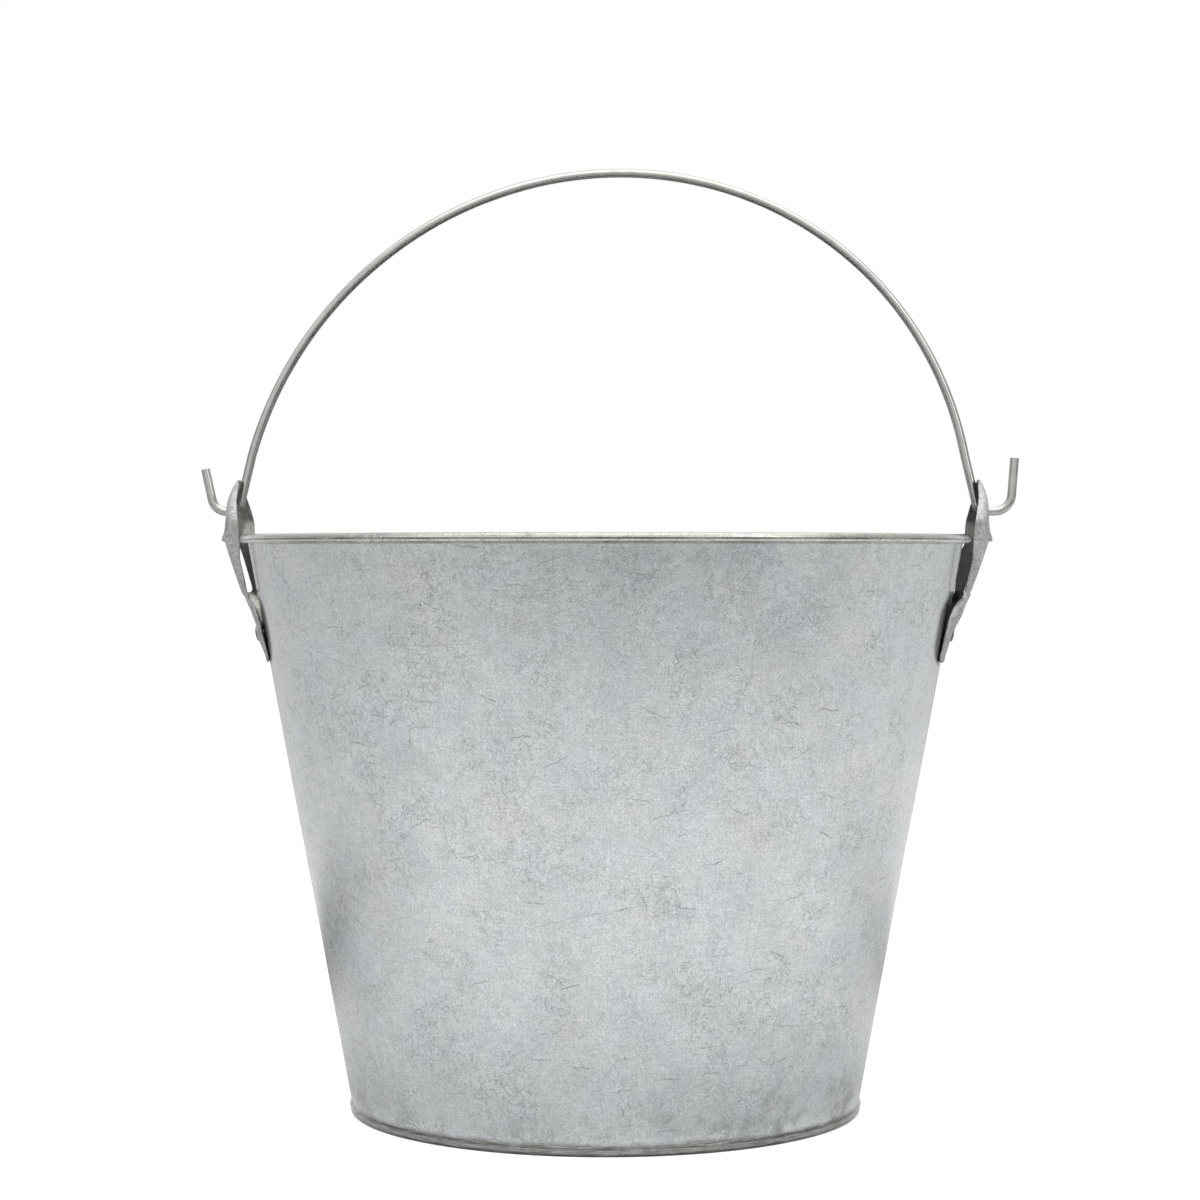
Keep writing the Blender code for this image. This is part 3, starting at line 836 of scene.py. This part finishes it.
# Extra rows on a smooth curve between the listed ones in the head; straight ones below it
def earRows():
    rows = []
    count = ear["rowsBetween"] + 1
    for i in range(len(earSections) - 1):
        a, b = earSections[i], earSections[i + 1]
        before, after = earSections[max(i - 1, 0)], earSections[min(i + 2, len(earSections) - 1)]
        for step in range(count):
            t = step / count
            if i < headSections:
                weights = [
                    (-t**3 + 2 * t**2 - t) / 2, (3 * t**3 - 5 * t**2 + 2) / 2,
                    (-3 * t**3 + 4 * t**2 + t) / 2, (t**3 - t**2) / 2]
                sections = (before, a, b, after)
                rows.append([sum(w * s[k] for w, s in zip(weights, sections)) for k in range(4)])
            else:
                rows.append([a[k] + (b[k] - a[k]) * t for k in range(4)])
    rows.append(list(earSections[-1]))
    return rows


# A value given at drops below the rim, as straight lines between them and zero elsewhere
def byDrop(points, height):
    drop = bucketWall["rimHeight"] - height
    for (a, start), (b, end) in zip(points, points[1:]):
        if a <= drop <= b:
            return start + (end - start) * (drop - a) / (b - a)
    return 0


def leanIn(side, height):
    return ear["leanIn"][side] * max(0, height - rivetHeight) / (pivotHeight - rivetHeight)


def crownRadius(side, height):
    for upper, lower in zip(earSections, earSections[1:]):
        if lower[0] <= height <= upper[0]:
            share = (height - lower[0]) / (upper[0] - lower[0])
            crown = lower[2] + share * (upper[2] - lower[2]) + byDrop(ear["crownOff"][side], height)
            return wallRadius(height) + crown - leanIn(side, height)
    raise ValueError("height outside the ear")


def cutWith(piece, tool):
    applyModifier(piece, "BOOLEAN", operation="DIFFERENCE", solver="EXACT", object=tool)
    bpy.data.objects.remove(tool, do_unlink=True)


# The hollow side of a pressing faces the line down the middle of its channel
def markHollowSide(pressing):
    hollow = pressing.data.attributes.new("hollowSide", "FLOAT", "POINT")
    for point, spot in zip(pressing.data.vertices, hollow.data):
        middle = Vector((wallRadius(point.co.z) + ear["channelMiddle"], 0, point.co.z))
        away = (point.co - middle).normalized()
        spot.value = max(0, min(1, 0.5 - 2.0 * away.dot(point.normal)))


def makeEar(side):
    rows = earRows()
    far = 1 if side == "right" else -1
    startPiece()
    across = 2 * ear["halfSteps"]
    bpy.ops.mesh.primitive_grid_add(x_subdivisions=across, y_subdivisions=len(rows) - 1, size=2)
    pressing = bpy.context.object
    bpy.ops.object.mode_set(mode="EDIT")
    shape = bmesh.from_edit_mesh(pressing.data)
    # The grid's rows run from -Y to +Y and become the ear's rows from its tip down
    for point in shape.verts:
        height, halfWidth, crown, edge = rows[round((point.co.y + 1) / 2 * (len(rows) - 1))]
        share = math.sin(math.pi / 2 * point.co.x)
        if edge > ear["thinEdge"]:
            edge -= ear["edgeAllowance"]
        if point.co.x * far > 0:
            edge -= byDrop(ear["farFlange"], height)
        elif side == "left":
            edge += byDrop(ear["leftFootOff"], height)
        y = halfWidth * share
        crown += byDrop(ear["crownOff"][side], height)
        reach = edge + (crown - edge) * (1 - abs(share) ** ear["crownPower"]) - leanIn(side, height)
        point.co = (math.sqrt(wallRadius(height) ** 2 - y**2) + reach, y, height)
    bmesh.update_edit_mesh(pressing.data)
    closeEdit()
    middle = pressing.data.polygons[len(pressing.data.polygons) // 2]
    if middle.normal.x < 0:
        editPiece(pressing)
        bpy.ops.mesh.select_all(action="SELECT")
        bpy.ops.mesh.flip_normals()
        endEdit()
    applyModifier(pressing, "SOLIDIFY", thickness=ear["sheet"], offset=-1, use_even_offset=True)

    # The window between the lip and the foot is pierced out of the crown by a punch whose inner
    # side leans with the legs. The tests pick its corners from a millimetre away.
    near = 0.001
    depth, width = ear["punch"]
    topZ = bucketWall["rimHeight"] - ear["windowTop"]
    lowZ = bucketWall["rimHeight"] - ear["windowBottom"][side]
    topX = wallRadius(topZ) + ear["legTopReach"] - leanIn(side, topZ)
    lowX = wallRadius(lowZ) + ear["legBottomReach"] - leanIn(side, lowZ)
    innerX = (topX + lowX) / 2
    startPiece()
    bpy.ops.mesh.primitive_cube_add(size=1, location=(innerX + depth / 2, 0, (topZ + lowZ) / 2))
    punch = bpy.context.object
    punch.scale = (depth, width, topZ - lowZ)
    bpy.ops.object.transform_apply()
    editPiece(punch)
    pick(punch, "VERT", lambda point: point.co.x < innerX + near and point.co.z > lowZ + near)
    bpy.ops.transform.translate(value=(topX - innerX, 0, 0))
    pick(punch, "VERT", lambda point: point.co.x < innerX + near and point.co.z < lowZ + near)
    bpy.ops.transform.translate(value=(lowX - innerX, 0, 0))
    pick(punch, "VERT", lambda point: point.co.x < innerX + 4 * near and point.co.z > lowZ + near
         and point.co.y * far > 0)
    bpy.ops.transform.translate(value=(ear["farLegFurther"], 0, 0))
    pick(punch, "EDGE", lambda edge: abs(edge.verts[0].co.y - edge.verts[1].co.y) > width - 10 * near
         and max(v.co.x for v in edge.verts) < topX + near)
    bpy.ops.mesh.bevel(offset=ear["windowRounding"], segments=3)
    endEdit()
    cutWith(pressing, punch)

    # The holes: level for the bail, and square to the wall for the rivet
    holes = (
        (ear["pivotHole"], crownRadius(side, pivotHeight), pivotHeight, 0),
        (ear["rivetHole"], wallRadius(rivetHeight), rivetHeight, wallAngle))
    for (holeWidth, length), away, height, tilt in holes:
        startPiece()
        bpy.ops.mesh.primitive_cylinder_add(
            vertices=ear["holeSteps"], radius=holeWidth / 2, depth=length,
            location=(away, 0, height), rotation=(0, math.pi / 2 + tilt, 0))
        cutWith(pressing, bpy.context.object)

    # Tumbling and the zinc round every edge of the pressing
    applyModifier(pressing, "REMESH", mode="VOXEL", voxel_size=ear["fineness"])
    applyModifier(pressing, "SMOOTH", factor=0.5, iterations=ear["rounding"])
    markHollowSide(pressing)
    if side == "left":
        pressing.rotation_euler = (0, 0, math.pi)
    settle(pressing, "ear" + side.title(), 180)
    giveFinish(pressing, pressedZinc)
    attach(pressing, "bucket")
    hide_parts("ear_" + side)


# Rivets. A shape is steps of the rise and the width there, as a share of the end's width.

rivet = {
    "headWidth": 0.0042,
    "headRise": {"right": 0.0005, "left": 0.0010},
    "headShape": [(0, 1), (0.28, 1), (0.72, 0.86), (0.94, 0.55), (1, 0.2)],
    "shankWidth": 0.0022,
    "tailWidth": 0.0034,
    "tailRise": 0.0006,
    "tailShape": [(0, 1), (0.7, 0.96), (1, 0.78)],
    "clearance": 0.0002,
    "roundSteps": 40,
    "edge": 0.00008,
}


# The selected end of the shank is drawn out wide, then in steps to its shape
def drawOut(start, rise, endWidth, shape):
    height, width = 0, 1
    for share, step in shape:
        lift = {"value": (0, 0, (share - height) * rise)}
        bpy.ops.mesh.extrude_region_move(TRANSFORM_OT_translate=lift)
        nextWidth = endWidth / rivet["shankWidth"] * step
        ratio = nextWidth / width
        bpy.ops.transform.resize(value=(ratio, ratio, 1), center_override=(0, 0, start + share * rise))
        height, width = share, nextWidth


def makeRivet(side):
    seat = crownRadius(side, rivetHeight) - wallRadius(rivetHeight) + rivet["clearance"]
    inside = -bucketWall["sheet"] - rivet["clearance"]
    startPiece()
    bpy.ops.mesh.primitive_cylinder_add(
        vertices=rivet["roundSteps"], radius=rivet["shankWidth"] / 2, depth=seat - inside,
        location=(0, 0, (seat + inside) / 2))
    body = bpy.context.object
    bpy.ops.object.transform_apply(location=True, rotation=False, scale=False)
    editPiece(body)
    # The head is a low dome, and the tail is upset flat against the inside of the wall
    pick(body, "FACE", lambda face: face.normal.z > 0.9)
    drawOut(seat, rivet["headRise"][side], rivet["headWidth"], rivet["headShape"])
    pick(body, "FACE", lambda face: face.normal.z < -0.9
         and face.calc_center_median().z < inside + 0.00005)
    drawOut(inside, -rivet["tailRise"], rivet["tailWidth"], rivet["tailShape"])
    endEdit()
    sharp = math.radians(40)
    applyModifier(body, "BEVEL", width=rivet["edge"], segments=2, limit_method="ANGLE", angle_limit=sharp)
    turn = 0 if side == "right" else math.pi
    place = Matrix.Rotation(turn, 4, "Z") @ Matrix.Translation((wallRadius(rivetHeight), 0, rivetHeight))
    body.matrix_world = place @ Matrix.Rotation(math.pi / 2 + wallAngle, 4, "Y")
    settle(body, "rivet" + side.title(), 50)
    giveFinish(body, rivetPlating)
    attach(body, "bucket")
    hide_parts("rivet_" + side)


for sideName in ("right", "left"):
    makeEar(sideName)
    makeRivet(sideName)
    print(sideName, "ear pressed and riveted")


# Bail

bail = {
    "wire": 0.0023,
    "bowHeight": 0.0864,
    "bowLean": 0.044,
    "legRise": 0.0144,
    "innerBend": 0.0025,
    "rightHook": {"start": 0.0018, "bend": 0.0044, "lean": math.radians(4.5), "rise": 0.0136},
    "leftHook": {"start": 0.0008, "bend": 0.0039, "lean": math.radians(12.3), "rise": 0.0109},
    "swingGap": 0.0003,
    "bowSteps": 120,
    "bendSteps": 14,
    "roundSteps": 5,
    "endInset": 0.00015,
    "endRise": 0.00008,
    "unevenSize": 0.012,
    "uneven": 0.00008,
}


def hookLine(side):
    hook = bail[side + "Hook"]
    start = crownRadius(side, pivotHeight) + hook["start"]
    turn = math.pi / 2 - hook["lean"]
    centre = (start, hook["bend"])
    line = arcPoints(centre, hook["bend"], -math.pi / 2, -math.pi / 2 + turn, bail["bendSteps"])
    x, z = line[-1]
    line.append((x + (hook["rise"] - z) * math.tan(hook["lean"]), hook["rise"]))
    return line


def legLine(footX, lean):
    turn = math.pi / 2 - lean
    bend = bail["innerBend"]
    bendX = footX + (bail["legRise"] - bend * (1 - math.cos(turn))) * math.tan(lean)
    centre = (bendX + bend * math.sin(turn), bend)
    return arcPoints(centre, bend, -math.pi / 2, -math.pi / 2 - turn, bail["bendSteps"])


# The legs clear the ear's free edges where its head is widest
def footRadius(side):
    widest = max(earSections[:headSections], key=lambda section: section[1])
    height, halfWidth, edge = widest[0], widest[1], widest[3]
    edgeX = math.sqrt(wallRadius(height) ** 2 - halfWidth**2) + edge - leanIn(side, height)
    return edgeX - ear["sheet"] / 2 - bail["swingGap"] - bail["wire"] / 2


def makeBail():
    rightX, leftX = footRadius("right"), -footRadius("left")
    middle, half = (rightX + leftX) / 2, (rightX - leftX) / 2
    top, rise = bail["bowHeight"], bail["legRise"]
    centreZ = (top**2 - half**2 - rise**2) / (2 * (top - rise))
    radius = top - centreZ
    lean = math.asin((rise - centreZ) / radius)
    bow = arcPoints((middle, centreZ), radius, lean, math.pi - lean, bail["bowSteps"])
    bow = [(x + bail["bowLean"] * (z - rise), z) for x, z in bow]
    right = list(reversed(hookLine("right"))) + legLine(rightX, lean)
    left = list(reversed(legLine(-leftX, lean))) + hookLine("left")
    path = right + bow + [(-x, z) for x, z in left]

    # The wire's centre line is drawn from hook to hook, one short length after another
    startPiece()
    bpy.ops.mesh.primitive_plane_add(size=0.001, location=(path[0][0], 0, pivotHeight + path[0][1]))
    bpy.ops.object.transform_apply(location=True, rotation=False, scale=False)
    bpy.ops.object.mode_set(mode="EDIT")
    bpy.ops.mesh.select_all(action="SELECT")
    bpy.ops.mesh.merge(type="CENTER")
    bpy.ops.mesh.select_mode(type="VERT")
    bpy.ops.mesh.select_all(action="SELECT")
    for (x, z), (nextX, nextZ) in zip(path, path[1:]):
        bpy.ops.mesh.extrude_region_move(TRANSFORM_OT_translate={"value": (nextX - x, 0, nextZ - z)})
    endEdit()
    bpy.ops.object.convert(target="CURVE")
    wire = bpy.context.object
    wire.data.dimensions = "3D"
    wire.data.bevel_depth = bail["wire"] / 2
    wire.data.bevel_resolution = bail["roundSteps"]
    wire.data.use_fill_caps = True
    bpy.ops.object.convert(target="MESH")
    wire = bpy.context.object
    editPiece(wire)
    bpy.ops.mesh.select_all(action="SELECT")
    bpy.ops.mesh.remove_doubles(threshold=0.00001)
    bpy.ops.mesh.normals_make_consistent(inside=False)
    # The sheared ends have a small worn edge
    pick(wire, "FACE", lambda face: len(face.verts) > 4)
    bpy.ops.mesh.inset(thickness=bail["endInset"], depth=bail["endRise"])
    endEdit()
    makeUneven(wire, "wire", bail["unevenSize"], bail["uneven"], 0.5)
    settle(wire, "wireBail", 50)
    giveFinish(wire, zincWire)
    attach(wire, "bail")
    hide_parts("bail")


makeBail()
giveFinish(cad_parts["rim_wire"], zincWire)
print("bail bent and hooked in")


# Studio

# A dark zone has its turns, in degrees from the front and positive to the right, and its reach along
# the table or, where it has a distance, its heights as a standing band, each with how dark it is
studio = {
    "floorSize": 8.0,
    "tableFront": 1.2,
    "floor": "#ececec",
    "floorGlow": 0.6,
    "matt": 0.9,
    "worldDiffuse": 0.6,
    "card": "#1c1d1f",
    "cardSteps": 96,
    "zones": {
        "dark": {
            "height": 0.0010,
            "turns": [
                (-180, 0.0), (-134, 0.1), (-114, 0.22), (-89, 0.28), (-60, 0.5), (-35, 0.65), (-11, 1),
                (11, 1), (35, 1), (60, 0.7), (89, 0.25), (114, 0.0), (180, 0)],
            "along": [
                (0.20, 0), (0.34, 0), (0.385, 0.12), (0.425, 0.9), (0.46, 1), (0.54, 1), (0.75, 0.85),
                (1.00, 0.6), (1.12, 0.3), (1.18, 0)]},
        "near": {
            "height": 0.0014,
            "turns": [
                (-180, 0.0), (-134, 0.05), (-104, 0.15), (-80, 0.2), (-35, 0.15), (0, 0.2), (40, 0.25),
                (90, 0.2), (134, 0.15), (180, 0.1)],
            "along": [(0.07, 1), (0.09, 1), (0.11, 0.75), (0.14, 0.3), (0.19, 0.05), (0.22, 0)]},
        "side": {
            "height": 0.0018,
            "turns": [
                (-180, 0.4), (-140, 0.8), (-108, 0.75), (-89, 0.3), (-60, 0.05), (-30, 0), (80, 0),
                (105, 0.3), (140, 0.6), (180, 0.4)],
            "along": [(0.12, 0), (0.16, 0.35), (0.20, 0.9), (0.25, 1), (0.30, 0.35), (0.34, 0)]},
        "band": {
            "distance": 1.0,
            "turns": [
                (-180, 0), (-150, 0), (-125, 0.4), (-70, 0.9), (-45, 0.3), (-30, 0), (-12, 0.05),
                (20, 0.15), (45, 0.3), (75, 0.8), (125, 0.4), (150, 0), (180, 0)],
            "along": [(0.05, 0), (0.12, 1), (0.45, 1), (0.80, 0)]},
    },
    # Place, target, width and depth, and power in watts
    "lamps": {
        "top softbox": ((0.08, -0.25, 1.1), (0, -0.1, 0), (1.6, 1.4), 8.4),
        "right strip": ((0.9, -0.75, 0.55), (0, 0, 0.12), (0.25, 0.7), 2.0),
        "left strip": ((-0.95, -0.6, 0.5), (0, 0, 0.12), (0.25, 0.7), 1.0),
    },
}


# A smooth curve that follows (place, value) points, as a ramp
def addRamp(add, value, points):
    low, high = points[0][0], points[-1][0]
    share = add("MapRange", [value, low, high])
    ramp = add("ValToRGB", [share])
    ramp.color_ramp.interpolation = "B_SPLINE"
    spots = ramp.color_ramp.elements
    for place, level in points[1:-1]:
        spots.new((place - low) / (high - low)).color = (level, level, level, 1)
    for spot, (place, level) in ((spots[0], points[0]), (spots[-1], points[-1])):
        spot.color = (level, level, level, 1)
    return ramp


# A dark card that fades in and out, round the bucket and along its reach
def makeDarkCard(name, zone):
    material, add, shader, place = newMaterial(name)
    x, y, height = add("SeparateXYZ", [place]).outputs
    degrees = add("Math DEGREES", [addTurn(add, x, y)])
    flat = add("CombineXYZ", [x, y])
    distance = add("VectorMath LENGTH", [flat])
    around = addRamp(add, degrees, zone["turns"])
    out = addRamp(add, height if "distance" in zone else distance, zone["along"])
    setInputs(shader, {
        "Base Color": hexColour(studio["card"]),
        "Roughness": studio["matt"],
        "Alpha": add("Math MULTIPLY", [around, out]),
    })
    return material


def makeStage():
    startPiece()
    size = studio["floorSize"]
    bpy.ops.mesh.primitive_plane_add(size=size, location=(0, size / 2 - studio["tableFront"], 0))
    floor = bpy.context.object
    settle(floor, "studioFloor")
    material, add, shader = newMaterial("matt white table")[:3]
    seen = add("LightPath").outputs["Is Camera Ray"]
    setInputs(shader, {
        "Base Color": hexColour(studio["floor"]),
        "Roughness": studio["matt"],
        "Specular IOR Level": 0.0,
        "Emission Color": (1, 1, 1, 1),
        "Emission Strength": add("Math MULTIPLY", [seen, studio["floorGlow"]]),
    })
    giveFinish(floor, material)

    # Only reflections see the dark cards. They stand for the parts of the room that the light
    # doesn't reach: three zones of the table round the bucket, and a standing band further out.
    for name, zone in studio["zones"].items():
        low, high = zone["along"][0][0], zone["along"][-1][0]
        if "distance" in zone:
            profile = [(zone["distance"], low), (zone["distance"], high)]
        else:
            profile = [(low, zone["height"]), (high, zone["height"])]
        card = makeShell(profile, studio["cardSteps"])
        endEdit()
        settle(card, name + "Card")
        giveFinish(card, makeDarkCard(name + " card", zone))
        card.visible_camera = False
        card.visible_diffuse = False
        card.visible_shadow = False


def putInScene(data, place, turn):
    item = bpy.data.objects.new(data.name, data)
    bpy.context.scene.collection.objects.link(item)
    item.location = place
    item.rotation_euler = turn
    return item


def addLamp(name, place, target, size, power):
    light = bpy.data.lights.new(name, "AREA")
    light.shape = "RECTANGLE"
    light.size, light.size_y = size
    light.energy = power
    putInScene(light, place, (Vector(target) - Vector(place)).to_track_quat("-Z", "Y").to_euler())


# The world is white to the camera and in the metal, and lights the object less than that
def makeLights():
    world = bpy.context.scene.world or bpy.data.worlds.new("studio")
    bpy.context.scene.world = world
    world.use_nodes = True
    tree = world.node_tree
    tree.nodes.clear()
    add = functools.partial(addNode, tree)
    rays = add("LightPath").outputs
    seen = add("Math MAXIMUM", [rays["Is Camera Ray"], rays["Is Glossy Ray"]])
    seenAll = add("Math MAXIMUM", [seen, rays["Is Transmission Ray"]])
    level = add("MapRange", [seenAll, 0, 1, studio["worldDiffuse"], 1.0])
    light = add("Background", {"Color": (1, 1, 1, 1), "Strength": level})
    add("OutputWorld", {"Surface": light})
    for name, values in studio["lamps"].items():
        addLamp(name, *values)


# The photograph's view: a little to the right of the front, just under the rim's height. The
# distance and height are in metres, the turn in degrees, the tilt in radians.
camera = {
    "lens": 88.2,
    "sensor": 36,
    "shift": -5.45 / 1200,
    "distance": 0.753,
    "height": 0.1419,
    "turn": 1.9,
    "tilt": -0.01588,
}


def makeCamera():
    data = bpy.data.cameras.new("camera")
    data.lens = camera["lens"]
    data.sensor_width = camera["sensor"]
    data.shift_x = camera["shift"]
    data.clip_start = 0.01
    turn, away = math.radians(camera["turn"]), camera["distance"]
    place = (away * math.sin(turn), -away * math.cos(turn), camera["height"])
    bpy.context.scene.camera = putInScene(data, place, (math.pi / 2 + camera["tilt"], 0, turn))


makeStage()
makeLights()
makeCamera()
bpy.context.scene.view_settings.view_transform = "Standard"
print("studio lit")
